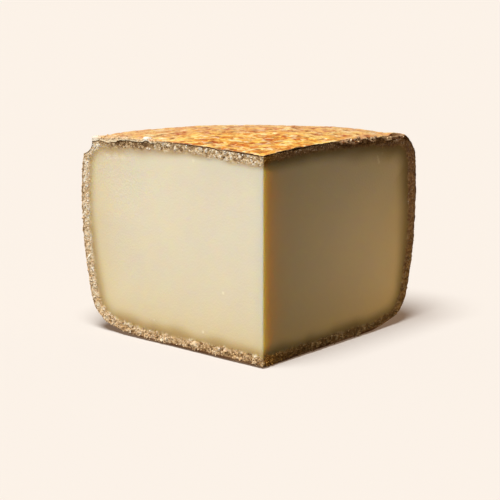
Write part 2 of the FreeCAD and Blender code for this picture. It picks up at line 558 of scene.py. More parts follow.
def skin_wall(hand, edge):
    """The skin's end at a cut: a narrow strip beside the outline, then a hidden fan to a point in the middle.

    The strip's rows lie at set depths in from the outline, towards the middle, thin where the knife cut and
    thick at the ledge, where crust tore and stands out. A hidden line behind the front edge closes the loop
    from the seat back up to the crown, and both ends share it. The left ledge has a pale lip under it, a
    painted highlight where its lower edge catches the light.
    """
    r, z = from_axis(edge), edge[:, 2]
    ledge = torn(hand, r, z)
    foot = 1 - ease(z, 3.0, 12.0)
    lift = 0.15 + ledge_out[hand] * ledge + 0.3 * rough(edge, 2.5, 81)
    lift = lift + chunk_out * foot * mounds(edge, 2.6, 89)
    slab = 0.65 + 1.1 * ease(r, corner_start, corner_full) if hand < 0 else 1.3
    # The strip is wider at the foot, so the painted shade there is a wider dark line.
    thick = 0.42 + 0.35 * (1 - ease(z, 1.5, 7.0)) + 0.15 * rough(edge, 5.0, 85)
    thick = thick + slab * ledge * (1 + 0.4 * noise(edge, 6.0, 83))
    heights = np.linspace(z[-1], z[0], 9)[1:-1]
    hidden = on_cut(hand, 0 * heights, heights, -2 * wall_recess + 0 * heights)
    rows = [edge]
    steps = [(depth * thick, lift) for depth in wall_depths]
    for depth, raised in steps + [(wall_depths[-1] * thick + 0.2, 0 * r - wall_recess)]:
        share = depth / np.hypot(r - middle_r, z - middle_z)
        rows.append(on_cut(hand, r + (middle_r - r) * share, z + (middle_z - z) * share, raised))
    rows[-1][0], rows[-1][-1] = hidden[-1], hidden[0]
    loops = [np.concatenate([row, hidden, row[:1]]) for row in rows]
    fan = np.zeros(len(loops[0]))
    loops = np.stack(loops + [on_cut(hand, fan + middle_r, fan + middle_z, fan - wall_recess)])
    around = (edge_darkness_and_painted_shade(hand, r, z), ledge * (hand < 0))
    dark, pale = (np.concatenate([value, 0 * heights, value[:1]]) for value in around)
    dark = np.clip(dark + 0.5 * noise(loops, 1.3, 87), 0, 1)
    dark[-2:] = 1.0
    # Painted highlight: the lip rows are pale where the ledge's lower edge catches the light.
    pale = pale * np.array([0, 0.1, 0.2, 0.9, 1.0, 0, 0])[:, None]
    return loops, {"crust": 0.0, "cut": 1.0, "dark": dark, "pale": pale, "pit": 0.0, "rim": 0.0,
                   "bloom": bloom_at(loops)}


crown_points, side_points, base_points = (points for points, _ in skins)
for hand, crown_edge, column in ((-1, crown_points[:, 0], 0), (1, crown_points[0], -1)):
    edge = np.concatenate([crown_edge, side_points[1:, column], base_points[1:, column]])
    skins.append(skin_wall(hand, edge))
print("rows and columns of a cut edge:", skins[-1][0].shape[:2])

# %% The rind and crust piece
inside = np.array([0.0, axis_y + 60.0, middle_z])
points, faces, values = weld([grid(points, inside, **values) for points, values in skins])
points, values["broken"] = knocked(worn(points))
rind_surface = points, faces, values
rind = make_piece("rind_and_crust", *rind_surface, crease=70.0)

# %% [markdown]
# ## Paste: the band beside the rind
# The two cut faces are what the eye sees first. They are smooth, but towards the rind the paste is drier and
# browner, and its last few millimetres crumbled under the knife. How wide and how rough that band is changes
# along the outline. It could be painted by hand, but a few places along the section with straight lines
# between them are shorter and easy to change.

# %% The band's widths
# Where along the section, how wide the crumbled rind and the brown halo inside it are there, how deeply the
# rind crumbled (1 on the left, where the knife tore it, less on the right), and how much lighter than the
# rest its crumbs are. On the right cut the wider halo and the darker crumbs, whose colours also differ less
# as the crumbling is lower, are painted shade, as that cut faces away from the light.
left_band = np.array([
    [0.0, 5.6, 4.0, 0.8, 0.0],
    [8.0, 6.2, 3.5, 0.9, 0.06],
    [25.0, 6.0, 3.5, 1.0, 0.05],
    [50.0, 4.8, 4.0, 1.0, 0.02],
    [rim_mark - 20.0, 5.4, 7.0, 0.9, -0.04],
    [rim_mark, 5.0, 7.0, 0.8, 0.04],
    [side_mark, 5.8, 6.0, 0.7, 0.18],
    [foot_mark, 6.0, 8.0, 0.7, 0.16],
    [heel_mark, 6.0, 8.5, 0.8, 0.10],
    [end_mark, 6.6, 7.5, 1.0, 0.0],
])
right_band = np.array([
    [0.0, 5.6, 4.0, 0.8, 0.0],
    [8.0, 4.4, 8.0, 0.4, -0.08],
    [50.0, 4.2, 9.0, 0.4, -0.10],
    [rim_mark, 6.0, 12.0, 0.5, -0.20],
    [side_mark, 7.8, 14.0, 0.4, -0.16],
    [foot_mark, 6.4, 9.0, 0.5, -0.14],
    [heel_mark, 5.6, 7.5, 0.9, -0.18],
    [end_mark - 8.0, 6.4, 7.5, 0.9, -0.20],
    [end_mark, 6.6, 7.5, 1.0, 0.0],
])


def band(hand, along):
    """The band's width, its halo's, how deeply it crumbled and how light it is, between the set places."""
    table = left_band if hand < 0 else right_band
    return [np.interp(along, table[:, 0], table[:, column]) for column in (1, 2, 3, 4)]


print("the band's width at the rim, mm: left", band(-1, rim_mark)[0], "right", band(1, rim_mark)[0])

# %% The relief and finish of a cut
# Where crumbs were smeared over the left cut below the dent: from the axis, height and length.
smears = [(109.0, 97.6, 4.0), (102.5, 98.6, 5.0)]
smear_flatness = 2.8        # how many times longer than high they are
aged_reach = 14.0           # how far in from the rind the paste looks older
lip_shade = 3.6             # how far in from the torn ledge it is darker, as painted shadow
glow_reach = 10.0           # how far back from the right cut's front edge the painted amber glow is strong
glow_fade = 45.0            # and how far it is faint


def smeared(hand, r, z, points):
    """How thickly crumbs are smeared over a place on a cut: a flat, uneven bell round each smear's middle."""
    smear = 0.0
    for smear_r, smear_z, length in smears:
        away = np.hypot(r - smear_r, smear_flatness * (z - smear_z)) / length
        smear = np.maximum(smear, bell(away, 1.0) * (0.7 + 0.6 * noise(points, 2.2, 161)) * (hand < 0))
    return smear


def cut_face(hand, along, points, depth):
    """The relief of a cut face and its finish: how far it stands out, and values for the material.

    The band is a crust of crumbs, small ones near the crown and chunky ones near the table, that ends
    raggedly. The halo fades inwards from the band. The open paste has only the knife's faint waves.
    """
    width, halo_width, crumble, light = band(hand, along)
    low = ease(along, side_mark, heel_mark)
    # The band and its crumbs.
    ragged = width * (1 + 0.25 * rough(points, 5.0, 101) + 0.15 * noise(points, 1.2, 105))
    in_band = ease(ragged - depth, -1.0, 1.6)
    small, small_number = crumbs(points, 1.6, 111)
    large, large_number = crumbs(points, 2.9, 121)
    heaps = 0.5 * ((1 - small ** 2) * small_number) * (1 - 0.4 * low)
    heaps = heaps + 0.95 * ((1 - large ** 2) * large_number) * (0.25 + 0.75 * low) - 0.25
    waves = 0.10 * noise(points, 30.0, 141) + 0.03 * noise(points, 7.0, 142)
    raised = waves + heaps * in_band * crumble
    # The halo, and how light each crumb is. The right cut's halo is painted stronger, as shade.
    inner = width + halo_width + 1.2 * noise(points, 11.0, 107) - depth
    halo = ease(inner, 0.0, halo_width + 1.0) ** 1.2 * (0.85 if hand < 0 else 1.0)
    even = 0.5 + 0.35 * rough(points, 2.0, 151)
    grain = 0.35 * small_number * (1 - low) + 0.26 * large_number * low + 0.18 * (1 - large) + 0.5 * even
    # On the right cut the lower crumbling and the light values paint the crumbs darker and less varied, as
    # shade.
    grain = 0.5 + (grain - 0.5) * (0.45 + 0.55 * crumble) + light
    # What lies beside mould, the painted shadow under the ledge, the older paste with painted shade towards
    # the table, painted shade at the foot, and the painted amber glow at the right cut's front edge.
    r, z = from_axis(points), points[..., 2]
    # Painted shadow under the left ledge, partly the rind's own darker crumbs.
    under = torn(hand, r, z + depth)
    grain = grain + (0.35 * bloom_at(points) - 0.3 * under * bell(depth, lip_shade)) * (hand < 0)
    aged_and_painted_shade = np.exp(-depth / aged_reach) * (0.2 + 0.8 * ease(along, rim_mark - 25.0, side_mark))
    # Painted shade: besides ageing beside the rind, the paste is painted darker and yellower towards the
    # table.
    aged_and_painted_shade = np.minimum(aged_and_painted_shade + 0.26 * (1 - z / axis_height), 1.0)
    # Painted shade: the cuts are darker right at the table near the front edge.
    grain = grain - 0.14 * (1 - ease(z, 1.5, 5.0)) * (1 - ease(r, 25.0, 60.0))
    # Painted glow: amber on the right cut beside the front edge, where light from the left cut would scatter
    # through.
    painted_glow = np.exp(-(r / glow_reach) ** 1.5) + 0.3 * bell(r, glow_fade)
    painted_glow = np.minimum(painted_glow, 1.0) * (hand > 0)
    smear = smeared(hand, r, z, points)
    in_band = np.maximum(in_band, 0.38 * smear)
    grain = np.maximum(grain, 0.92 * ease(smear, 0.05, 0.3))
    return raised, {"band": in_band, "halo": halo, "grain": grain, "low": low, "aged_and_painted_shade": aged_and_painted_shade, "painted_glow": painted_glow,
                    "right": 0.0 * depth + (hand > 0)}


beside_rind, _ = skin(middle_line, 0 * middle_line - half_cut, 1.0)
raised, _ = cut_face(-1, middle_line, beside_rind, 1.0)
print("relief of the left band, mm: from", raised.min().round(2), "to", raised.max().round(2))

# %% [markdown]
# ## Paste: the piece
# A cut face could be a plain square grid, but all its detail lies beside the rind. So it is made of rows that
# follow its outline inwards to a short line in the middle, like the rings of an onion: beside the rind they
# are under half a millimetre apart, and in the plain middle they are wide. Both faces, the hidden skin
# between them and the front edge are one grid, bent twice.

# %% The paste piece
paste_inset = 0.75           # at the cuts, where the skin is thin
hidden_inset = 2.2           # and behind them, well under the skin
spine_reach = 73.0
spine_height = 57.0
far_columns = 230            # along the crown, and again along the heel and seat
side_columns = 240
band_rows = 23
band_step = 0.4
inner_rows = 15
hidden_turns = 6


def cut_rows(hand):
    """One cut face as rows from the outline to the line in the middle, with its values."""
    along = np.concatenate([np.linspace(0, rim_mark, far_columns + 1)[:-1],
                            np.linspace(rim_mark, heel_mark, side_columns + 1)[:-1],
                            np.linspace(heel_mark, end_mark, far_columns + 1)])
    upper = np.linspace(0, spine_reach, far_columns + 1)[:-1]
    spine = np.concatenate([upper, np.full(side_columns + 1, spine_reach), upper[::-1]])
    (r, z), (nr, nz) = (np.moveaxis(part, -1, 0) for part in section(along))
    r = np.maximum(r - paste_inset * nr, 0.0)
    z = z - paste_inset * nz
    r[[0, -1]] = 0.0
    span = np.hypot(spine - r, spine_height - z)
    near = band_step * np.arange(band_rows)[:, None] + 0 * span
    onward = near[-1] + (span - near[-1]) * (np.arange(1, inner_rows + 1)[:, None] / inner_rows) ** 1.5
    depth = np.concatenate([near, onward])
    share = depth / span
    slant = (nr * (r - spine) + nz * (z - spine_height)) / span
    rr = r + (spine - r) * share
    zz = z + (spine_height - z) * share
    flat = on_cut(hand, rr, zz, 0 * rr)
    raised, values = cut_face(hand, along + 0 * rr, flat, paste_inset + depth * slant)
    return along, on_cut(hand, rr, zz, raised), values


paste_along, left_face, left_values = cut_rows(-1)
_, right_face, right_values = cut_rows(1)
hidden_turn = np.linspace(-half_cut, half_cut, hidden_turns + 1)[1:-1, None]
hidden, _ = skin(paste_along + 0 * hidden_turn, hidden_turn + 0 * paste_along, hidden_inset)
hidden[:, [0, -1], 0] = 0.0
hidden[:, [0, -1], 1] = left_face[0, [0, -1], 1]
hidden[:, [0, -1], 2] = left_face[0, [0, -1], 2]
loop = np.concatenate([left_face[::-1], hidden, right_face])
loop_values = {
    name: np.concatenate([left_values[name][::-1], np.zeros(hidden.shape[:2]), right_values[name]])
    for name in left_values
}
points, faces, values = weld([grid(loop, inside, **loop_values)])
points, values["broken"] = knocked(worn(points), deeper=0.3)
paste_surface = points, faces, values
paste = make_piece("paste_body", points, faces, values, crease=70.0)

# %% [markdown]
# ## Grains and crumbs
# A knife drags dry rind, so its cut edge is a crust of separate grains that stand out from the outline, and
# the places where the crust broke are strewn with crumbs. Particles could scatter them, but real meshes at
# true size travel further. All the grains of a kind are one mesh of small uneven lumps, strewn over the
# triangles where they belong, so many to each square millimetre. A crumb has twenty faces, and a splinter,
# which is half a millimetre long, has eight.

# %% Strewing lumps
def faceted(corners, reach):
    """Corners on a unit ball, and the triples of them that lie within reach of each other as faces."""
    apart = np.linalg.norm(corners[:, None] - corners, axis=-1) < reach
    count = len(corners)
    triples = np.array([(a, b, c) for a, b, c in np.ndindex(count, count, count) if a < b < c
                        and apart[a, b] and apart[b, c] and apart[a, c]])
    p, q, r = corners[triples].transpose(1, 0, 2)
    inward = np.sum(p * np.cross(q, r), axis=-1) < 0
    triples[inward] = triples[inward][:, ::-1]
    return corners / np.linalg.norm(corners[0]), triples


golden = (1 + math.sqrt(5)) / 2
rectangle = np.array([[0, a, b * golden] for a in (-1, 1) for b in (-1, 1)])
crumb_shape = faceted(np.concatenate([np.roll(rectangle, shift, axis=1) for shift in range(3)]), 2.1)
splinter_shape = faceted(np.concatenate([np.eye(3), -np.eye(3)]), 1.5)


def strewn(surface, chance, per_square, generator):
    """Random places on a surface's triangles, with their normals and values.

    A triangle is picked with a weight of its area times the mean chance at its corners, and the place in it
    by folding two random numbers at the diagonal. The count is per_square times the weights' sum.
    """
    points, faces, values = surface
    p, q, r = points[faces].transpose(1, 0, 2)
    normal = np.cross(q - p, r - p)
    area = np.linalg.norm(normal, axis=-1) / 2
    weight = area * chance[faces].mean(axis=1)
    chosen = generator.choice(len(faces), int(weight.sum() * per_square), p=weight / weight.sum())
    u, v = generator.random((2, len(chosen), 1))
    folded = u + v > 1
    u, v = np.where(folded, 1 - u, u), np.where(folded, 1 - v, v)
    places = p[chosen] * (1 - u - v) + q[chosen] * u + r[chosen] * v
    normals = normal[chosen] / np.maximum(2 * area[chosen, None], 1e-9)
    return places, normals, {name: value[faces[chosen, 0]] for name, value in values.items()}


def lumps(shape, places, normals, at, sizes, raised, generator):
    """Uneven lumps, one at each place: a shape stretched and turned at random, raised along the normal.

    The turn comes from a random quaternion w, x, y, z. Each corner also moves in or out by up to a fifth, and
    takes the values of its lump's place.
    """
    corners, triples = shape
    count = len(places)
    quaternion = generator.normal(size=(4, count))
    w, x, y, z = quaternion / np.linalg.norm(quaternion, axis=0)
    turn = np.stack([
        1 - 2 * (y ** 2 + z ** 2), 2 * (x * y - w * z), 2 * (x * z + w * y),
        2 * (x * y + w * z), 1 - 2 * (x ** 2 + z ** 2), 2 * (y * z - w * x),
        2 * (x * z - w * y), 2 * (y * z + w * x), 1 - 2 * (x ** 2 + y ** 2)], -1).reshape(count, 3, 3)
    stretch = generator.uniform(0.65, 1.35, (count, 1, 3))
    uneven = 1 + generator.uniform(-0.2, 0.2, (count, len(corners), 1))
    body = (corners * stretch * uneven) @ turn
    points = (places + normals * sizes[:, None] * raised)[:, None] + body * sizes[:, None, None]
    faces = triples + len(corners) * np.arange(count)[:, None, None]
    values = {name: np.repeat(value, len(corners)) for name, value in at.items()}
    return points.reshape(-1, 3), faces.reshape(-1, 3), values


print("faces of a crumb and of a splinter:", len(crumb_shape[1]), len(splinter_shape[1]))

# %% [markdown]
# ### Grains of the cut rind
# On the real cut each grain is a splinter of dry rind that the blade pulled loose. Bumps in a material would
# give the colours, but only real lumps break up the outline and shade each other. They lie where the band is,
# larger towards the table, and take their lightness from the place they lie on, give or take a little.

# %% Grains of the cut rind
grain_density = 2.2         # to a square millimetre where the band is full
splinter_reach = 1.15       # a splinter is leaner than a crumb, so it reaches a little further
generator = np.random.default_rng(7)
chance = ease(paste_surface[2]["band"], 0.5, 0.95) * (1 - 0.35 * paste_surface[2]["low"])
places, normals, at = strewn(paste_surface, chance, grain_density, generator)
sizes = 0.16 + 0.3 * generator.random(len(places)) ** 2
sizes = sizes * (1 + 0.9 * at["low"] * generator.random(len(places)))
spread = generator.uniform(-0.2, 0.2, len(places)) * (1 - 0.55 * at["low"])
at["grain"] = at["grain"] + spread + 0.03
at["band"] = np.ones(len(places))
grain_lumps = lumps(splinter_shape, places, normals, at, splinter_reach * sizes, 0.0, generator)
grains = make_piece("cut_rind_grains", *grain_lumps, crease=40.0)

# %% [markdown]
# ### Grit along the rind's outer edge
# Past the cut the rind goes on gritty for some millimetres, most of all at the left, where it tore. The grit
# is strewn over the skin's own triangles like the grains, but thins out with the distance behind the cut.

# %% Grit along the rind's outer edge
grit_density = 1.3          # to a square millimetre at the left cut
right_grit = 0.15           # the share of that at the right cut
grit_reach = 5.0            # how far behind the cut a third of it is left
grit_start = 60.0           # from the axis
edge_points, _, edge_values = rind_surface
near_left = np.exp(-np.maximum(behind_cut(edge_points, -1), 0) / grit_reach)
near_right = right_grit * np.exp(-np.maximum(behind_cut(edge_points, 1), 0) / grit_reach)
outside = from_axis(edge_points) > grit_start
chance = np.maximum(near_left, near_right) * (1 - edge_values["crust"]) * (edge_points[:, 2] > 1.0) * outside
chance = chance * (1 - 0.6 * edge_values["cut"])
places, normals, at = strewn(rind_surface, chance, grit_density, generator)
sizes = 0.2 + 0.35 * generator.random(len(places)) ** 2
at["cut"] = np.zeros(len(places))
grit_lumps = lumps(crumb_shape, places, normals, at, sizes, 0.1, generator)
edge_grit = make_piece("rind_grit", *grit_lumps, crease=40.0)

# %% [markdown]
# ### Crumbs where the crust broke
# The broken bites along the right cut are full of loose crumbs: dark rind, some orange crust and a few pale
# bits of paste. They are a little larger and flatter-sided than the grains, so their creases stay sharp.

# %% Crumbs where the crust broke
crumb_density = 0.25        # to a square millimetre where the crust is broken deepest
full_within = 80.0          # from the axis, as the bites further out lost most of their crumbs
inner = 0.15 + 0.85 * (from_axis(edge_points) < full_within)
chance = ease(edge_values["broken"], 0.1, 0.8) * (edge_points[:, 0] > 0) * inner
places, normals, at = strewn(rind_surface, chance, crumb_density, generator)
sizes = generator.uniform(0.4, 1.0, len(places))
at["crust"] = (generator.random(len(places)) > 0.7) * 1.0
at["dark"] = generator.uniform(0.55, 1, len(places))
at["pale"] = generator.uniform(0, 1, len(places)) ** 14
at["cut"] = 1 - at["crust"]
crumb_lumps = lumps(crumb_shape, places, normals, at, sizes, 0.3, generator)
crust_crumbs = make_piece("crust_crumbs", *crumb_lumps, crease=30.0)

# %% [markdown]
# ## Finishes
# A finish starts from what the real surface is. Its colours are written as hex values, as a painter would
# pick them, and one function turns them to the linear numbers that the shader works with. One more function
# adds a node with its settings and its links, so that each material below reads as a list of what it does.

# %% Colours and nodes
def colour(code):
    """An sRGB hex value as linear red, green, blue and full alpha."""
    parts = [int(code[place:place + 2], 16) / 255 for place in (1, 3, 5)]
    return [part / 12.92 if part <= 0.04045 else ((part + 0.055) / 1.055) ** 2.4 for part in parts] + [1.0]


def add(tree, kind, inputs=None, stops=None, output=0, **settings):
    """Adds a node with its settings, sets or links its inputs, fills its ramp, and gives back one output.

    A hex value becomes a linear colour. The stops of a ramp are pairs of a place and a hex value.
    """
    node = tree.nodes.new("ShaderNode" + kind)
    for name, value in settings.items():
        setattr(node, name, value)
    for name, value in (inputs or {}).items():
        if isinstance(value, bpy.types.NodeSocket):
            tree.links.new(value, node.inputs[name])
        else:
            node.inputs[name].default_value = colour(value) if isinstance(value, str) else value
    for number, (place, code) in enumerate(stops or []):
        ramp = node.color_ramp.elements
        stop = ramp[number] if number < 2 else ramp.new(place)
        stop.position = place
        stop.color = colour(code)
    return node.outputs[output] if node.outputs else node


def new_finish(name, piece):
    """A material with an empty tree, put on a piece. Gives back the tree."""
    material = bpy.data.materials.new(name)
    material.use_nodes = True
    material.node_tree.nodes.clear()
    piece.data.materials.append(material)
    return material.node_tree


def per_mm(width):
    """The scale of a pattern whose lumps are about width millimetres wide, in metres."""
    return 1 / (width * MM)


# A Mix node that mixes colours has them at inputs 6 and 7, and gives the result at output 2.
of_colours = {"output": 2, "data_type": "RGBA"}


print("the paste's ivory, linear:", [round(part, 3) for part in colour("#ECE0C9")])

# %% [markdown]
# ### Paste
# Pressed sheep's milk paste is firm, fat and smooth, and a wire or knife leaves it matt with a slight sheen.
# Light goes some millimetres into it and comes out warmer, so it never looks like plaster, and at the front
# edge, which is lit from the left only, it shows amber on the dark side. Beside the rind it dries to brown,
# and small white specks of crystal show here and there. Plain paint would lose all that, so the shader
# scatters light inside, and the values made with the surface say where it is dry, crumbled or aged. Some
# light and shade is painted into the colour as well: an amber glow on the right cut beside the front edge, a
# darker and yellower paste towards the table, a darker halo and band on the right cut, which faces away from
# the light, and white highlights high on the right cut.

# %% The paste's colours
crystals_and_painted_highlights = [        # white specks on the cuts, crystals on the left and painted highlights on the right: which cut, from the axis, height, radius, how white
    (-1, 27.9, 36.5, 1.1, 0.6), (-1, 42.2, 12.3, 1.1, 0.5),
    (-1, 77.7, 12.4, 0.9, 0.3), (-1, 48.7, 105.4, 1.2, 0.4),
    # On the right cut these specks are painted highlights, where facets catch the light from the left.
    (1, 96.0, 98.2, 1.2, 0.9), (1, 96.6, 96.6, 1.3, 0.9),
    (1, 97.2, 95.0, 1.3, 0.9), (1, 100.2, 99.4, 1.0, 0.8)]
tree = new_finish("sheeps_milk_paste", paste)
place = add(tree, "TexCoord", output="Object")
band_share, halo_share, grain_number, low_share, aged_and_painted_shade, painted_glow, right = (
    add(tree, "Attribute", output="Fac", attribute_name=name)
    for name in ("band", "halo", "grain", "low", "aged_and_painted_shade", "painted_glow", "right")
)
cloud = add(tree, "TexNoise", {"Vector": place, "Scale": per_mm(28.0), "Detail": 3.0})
ivory = add(tree, "ValToRGB", {"Fac": cloud}, [(0.35, "#E8DFCA"), (0.65, "#ECE2CA")])
# The first layer yellows the paste where it aged beside the rind and, as painted shade, towards the table;
# the second paints an amber glow on the right cut beside its front edge.
layers = [(aged_and_painted_shade, "#E0C890"), (painted_glow, "#EED48E")]
for hand, r, z, size, share in crystals_and_painted_highlights:
    spot = tuple(on_cut(hand, r, z, 0.0) * MM)
    away = add(tree, "VectorMath", {0: place, 1: spot}, output="Value", operation="DISTANCE")
    speck = add(tree, "MapRange", {
        "Value": away, "From Min": 0.4 * size * MM, "From Max": size * MM, "To Min": share, "To Max": 0.0})
    layers.append((speck, "#FFF6DC"))
for share, code in layers:
    ivory = add(tree, "Mix", {"Factor": share, 6: ivory, 7: code}, **of_colours)
brown = add(tree, "Mix", {"Factor": low_share, 6: "#B8925F", 7: "#B08A50"}, **of_colours)
# Painted shade: the right cut's halo is a darker copy of the brown.
brown = add(tree, "Mix", {"Factor": right, 6: brown, 7: "#8A764E"}, **of_colours)
dry = add(tree, "Mix", {"Factor": halo_share, 6: ivory, 7: brown}, **of_colours)
print("white specks on the cuts:", len(crystals_and_painted_highlights))

# %% [markdown]
# ### Crumbled rind on the cut
# The band beside the rind was torn by the knife, so it is rough and without sheen, and light goes hardly any
# way into it. Near the crown its crumbs are grey-brown with white ones between, near the table they are tan,
# and on the right cut they are painted darker and greyer as shade, and amber beside the front edge as a
# painted glow. The surface's own numbers say how light each crumb is. A cell pattern of 1.2 millimetres adds
# the splinters that are too fine for the mesh, in colour and as bumps.

# %% Its crumbs beside the rind
bits = add(tree, "TexVoronoi", {"Vector": place, "Scale": per_mm(1.2)}, output=1)
domes = bits.node.outputs["Distance"]
bits = add(tree, "SeparateColor", {"Color": bits})
bits = add(tree, "MapRange", {"Value": bits, "To Min": -0.14, "To Max": 0.14})
grain_number = add(tree, "Math", {0: grain_number, 1: bits}, operation="ADD")
upper = add(tree, "ValToRGB", {"Fac": grain_number}, [
    (0.26, "#705232"), (0.38, "#A88458"), (0.50, "#CCAC80"),
    (0.62, "#E6CCA2"), (0.78, "#F4E8D2"), (0.96, "#FFFCF4")])
lower = add(tree, "ValToRGB", {"Fac": grain_number}, [
    (0.26, "#825C34"), (0.38, "#B6905E"), (0.50, "#D4AE7E"),
    (0.62, "#E4C498"), (0.78, "#EED8B4"), (0.96, "#F8EEDC")])
crumbly = add(tree, "Mix", {"Factor": aged_and_painted_shade, 6: upper, 7: lower}, **of_colours)
# Painted shade: the right cut's crumbs are mixed towards a darker, greyer copy.
right_shade_share = add(tree, "Math", {0: right, 1: 0.5}, operation="MULTIPLY")
shaded = add(tree, "Mix", {"Factor": low_share, 6: "#A5826C", 7: "#766440"}, **of_colours)
crumbly = add(tree, "Mix", {"Factor": right_shade_share, 6: crumbly, 7: shaded}, **of_colours)
# Painted glow: the right cut's crumbs beside the front edge are coloured amber too.
painted_glow_on_crumbs = add(tree, "Math", {0: painted_glow, 1: right}, operation="MULTIPLY")
crumbly = add(tree, "Mix", {"Factor": painted_glow_on_crumbs, 6: crumbly, 7: "#C08A3C"}, **of_colours)
base = add(tree, "Mix", {"Factor": band_share, 6: dry, 7: crumbly}, **of_colours)
clear = add(tree, "MapRange", {"Value": band_share, "To Min": 1.0, "To Max": 0.12})
matt = add(tree, "MapRange", {"Value": band_share, "To Min": 0.55, "To Max": 0.95})
sandy = add(tree, "MapRange", {"Value": band_share, "To Min": 0.15, "To Max": 0.8})
grit = add(tree, "TexNoise", {"Vector": place, "Scale": per_mm(1.1), "Detail": 3.0})
grit = add(tree, "Math", {0: grit, 1: domes}, operation="SUBTRACT")
bump = add(tree, "Bump", {"Height": grit, "Strength": sandy, "Distance": 0.4 * MM})
shader = add(tree, "BsdfPrincipled", {
    "Base Color": base, "Roughness": matt, "IOR": 1.45, "Normal": bump, "Subsurface Weight": clear,
    "Subsurface Radius": (1.0, 0.71, 0.26), "Subsurface Scale": 13.0 * MM})
add(tree, "OutputMaterial", {"Surface": shader})
grains.data.materials.append(paste.data.materials[0])
print("nodes of the paste:", len(tree.nodes))

# %% [markdown]
# ### Orange crust
# Brine and rubbing ripened the crown to an orange crust. To the eye it is a mosaic of gold, orange and cream
# patches a few millimetres wide, rust-red in spots, brown in the pits, and dustier towards the rim. One noise
# with a ramp gives the patches, bent cells give single flakes other hues, more noises lay dust, rust and fine
# brown over them, and the values made with the surface darken the pits and the broken places. Painting it
# would need an image, and noise on the object's own coordinates has no seams.

# %% The crust's colours
tree = new_finish("natural_rind_with_orange_crust", rind)
place = add(tree, "TexCoord", output="Object")
crust_share, cut_share, dark_share, pale_share, pit, rim, bloom, broken = (
    add(tree, "Attribute", output="Fac", attribute_name=name)
    for name in ("crust", "cut", "dark", "pale", "pit", "rim", "bloom", "broken")
)
patches = add(tree, "TexNoise", {
    "Vector": place, "Scale": per_mm(10.5), "Detail": 6.0, "Roughness": 0.74, "Distortion": 0.3})
orange = add(tree, "ValToRGB", {"Fac": patches}, [
    (0.35, "#6E2E0C"), (0.42, "#B65A1E"), (0.47, "#D88C34"),
    (0.52, "#E6B450"), (0.58, "#EECE78"), (0.65, "#FAEEC8")])
warp = add(tree, "TexNoise", {"Vector": place, "Scale": per_mm(2.5), "Detail": 3.0}, output=1)
bent = add(tree, "VectorMath", {0: warp, 1: (3.0 * MM,) * 3, 2: place}, operation="MULTIPLY_ADD")
flakes = add(tree, "TexVoronoi", {"Vector": bent, "Scale": per_mm(3.8)}, output=1)
flakes = add(tree, "SeparateColor", {"Color": flakes})
hues = add(tree, "ValToRGB", {"Fac": flakes}, [
    (0.0, "#7C2C0A"), (0.16, "#BE5A1C"), (0.34, "#DC8C34"), (0.54, "#E8B64C"),
    (0.74, "#F0D27A"), (0.92, "#FCEECA"), (1.0, "#A08C46")])
orange = add(tree, "Mix", {"Factor": 0.4, 6: orange, 7: hues}, **of_colours)
dusty = add(tree, "TexNoise", {"Vector": place, "Scale": per_mm(6.0), "Detail": 4.0})
dusty = add(tree, "Math", {0: rim, 1: dusty}, operation="MULTIPLY_ADD")
dusty = add(tree, "MapRange", {"Value": dusty, "From Min": 0.55, "From Max": 1.4, "To Max": 0.9})
layers = [(dusty, "#D2AE88")]
# Spots of rust red and fine brown: width, detail, roughness, the noise where they begin and are full, share.
spots = [(6.0, 5.0, 0.65, 0.55, 0.65, 0.85, "#A8481A"), (1.4, 3.0, 0.7, 0.54, 0.70, 0.45, "#96521F")]
for width, detail, roughness, start, full, share, code in spots:
    spot = add(tree, "TexNoise", {
        "Vector": place, "Scale": per_mm(width), "Detail": detail, "Roughness": roughness})
    spot = add(tree, "MapRange", {"Value": spot, "From Min": start, "From Max": full, "To Max": share})
    layers.append((spot, code))
bared = add(tree, "MapRange", {"Value": broken, "From Min": 0.1, "From Max": 0.9, "To Max": 0.8})
for share, code in layers + [(pit, "#80400F"), (bared, "#6A3414")]:
    orange = add(tree, "Mix", {"Factor": share, 6: orange, 7: code}, **of_colours)
print("nodes of the crust:", len(tree.nodes))

# %% [markdown]
# ### Rind and its cut edge
# The rind is dried paste with moulds in it: dull, rough, cream to grey-brown with dark flecks, and white
# where mould blooms. Its cut edge is a thin line, nearly black-brown under the crown and speckled tan at the
# side, with a pale lip under the torn ledge. That lip is a painted highlight, where the ledge's lower edge
# catches the light, and the edge is painted darker as shade down the right cut and at the foot, where the
# wheel meets the table. The skin of one wheel is one material, so crust, rind and edge share a shader, and
# the surface's values say which is where.

# %% The rind's colours, and those of its cut edge
mould = add(tree, "TexNoise", {
    "Vector": place, "Scale": per_mm(3.0), "Detail": 5.0, "Roughness": 0.75})
grey = add(tree, "ValToRGB", {"Fac": mould}, [
    (0.32, "#8E6A44"), (0.42, "#C6A274"), (0.50, "#DEBE92"), (0.60, "#EAD2AE"), (0.72, "#F4E8D4")])
speckles = add(tree, "TexNoise", {
    "Vector": place, "Scale": per_mm(1.0), "Detail": 3.0, "Roughness": 0.7})
speckled = add(tree, "ValToRGB", {"Fac": speckles}, [
    (0.36, "#7E5A36"), (0.46, "#C09868"), (0.54, "#DEBA8C"), (0.66, "#EEDABC")])
edge = add(tree, "Mix", {"Factor": dark_share, 6: speckled, 7: "#5C381A"}, **of_colours)
